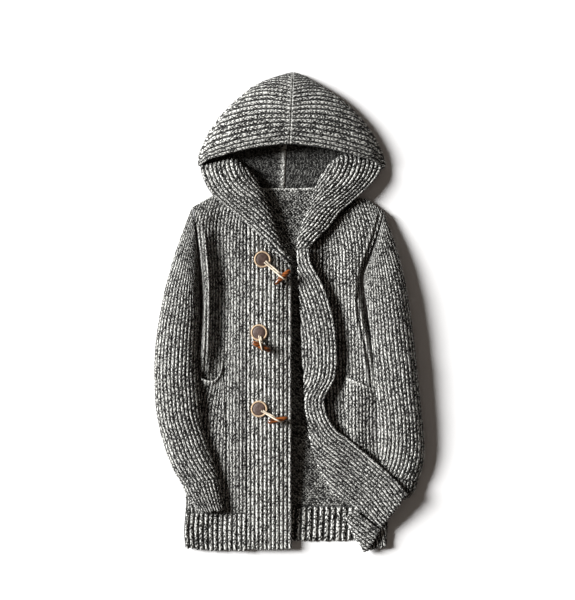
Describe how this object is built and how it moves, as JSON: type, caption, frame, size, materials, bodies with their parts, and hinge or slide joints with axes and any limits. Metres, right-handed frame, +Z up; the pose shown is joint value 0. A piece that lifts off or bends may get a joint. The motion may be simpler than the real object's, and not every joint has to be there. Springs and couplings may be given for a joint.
{
  "type": "hooded cardigan",
  "caption": "Chunky marled rib-knit hooded cardigan with toggle fastening, patch pockets and ribbed cuffs and hem, laid flat on its back with one front turned open.",
  "frame": {"origin": "middle of the bounding box, on the surface that the cardigan lies on", "axes": "+X to the right of the layout (the wearer's left side), +Y from the hem towards the crown of the hood, +Z up, from the back panel to the fronts"},
  "size_m": [0.5646, 1.005, 0.0485],
  "materials": {
    "knit": "matte",
    "leather": "satin",
    "cord": "matte",
    "horn": "gloss"
  },
  "bodies": {
    "root": {"back": "knit", "hem_back": "knit", "front_left": "knit", "placket_left": "knit", "hem_left": "knit", "front_right": "knit", "placket_right": "knit", "hem_right": "knit", "sleeve_left_upper": "knit", "sleeve_left_lower": "knit", "sleeve_right_upper": "knit", "sleeve_right_lower": "knit", "cuff_left": "knit", "cuff_right": "knit", "hood_left": "knit", "hood_right": "knit", "pocket_left": "knit", "pocket_right": "knit", "patch_1": "leather", "patch_2": "leather", "patch_3": "leather", "toggle_cord_1": "cord", "toggle_cord_2": "cord", "toggle_cord_3": "cord", "toggle_1": "horn", "toggle_2": "horn", "toggle_3": "horn"}
  },
  "joints": []
}
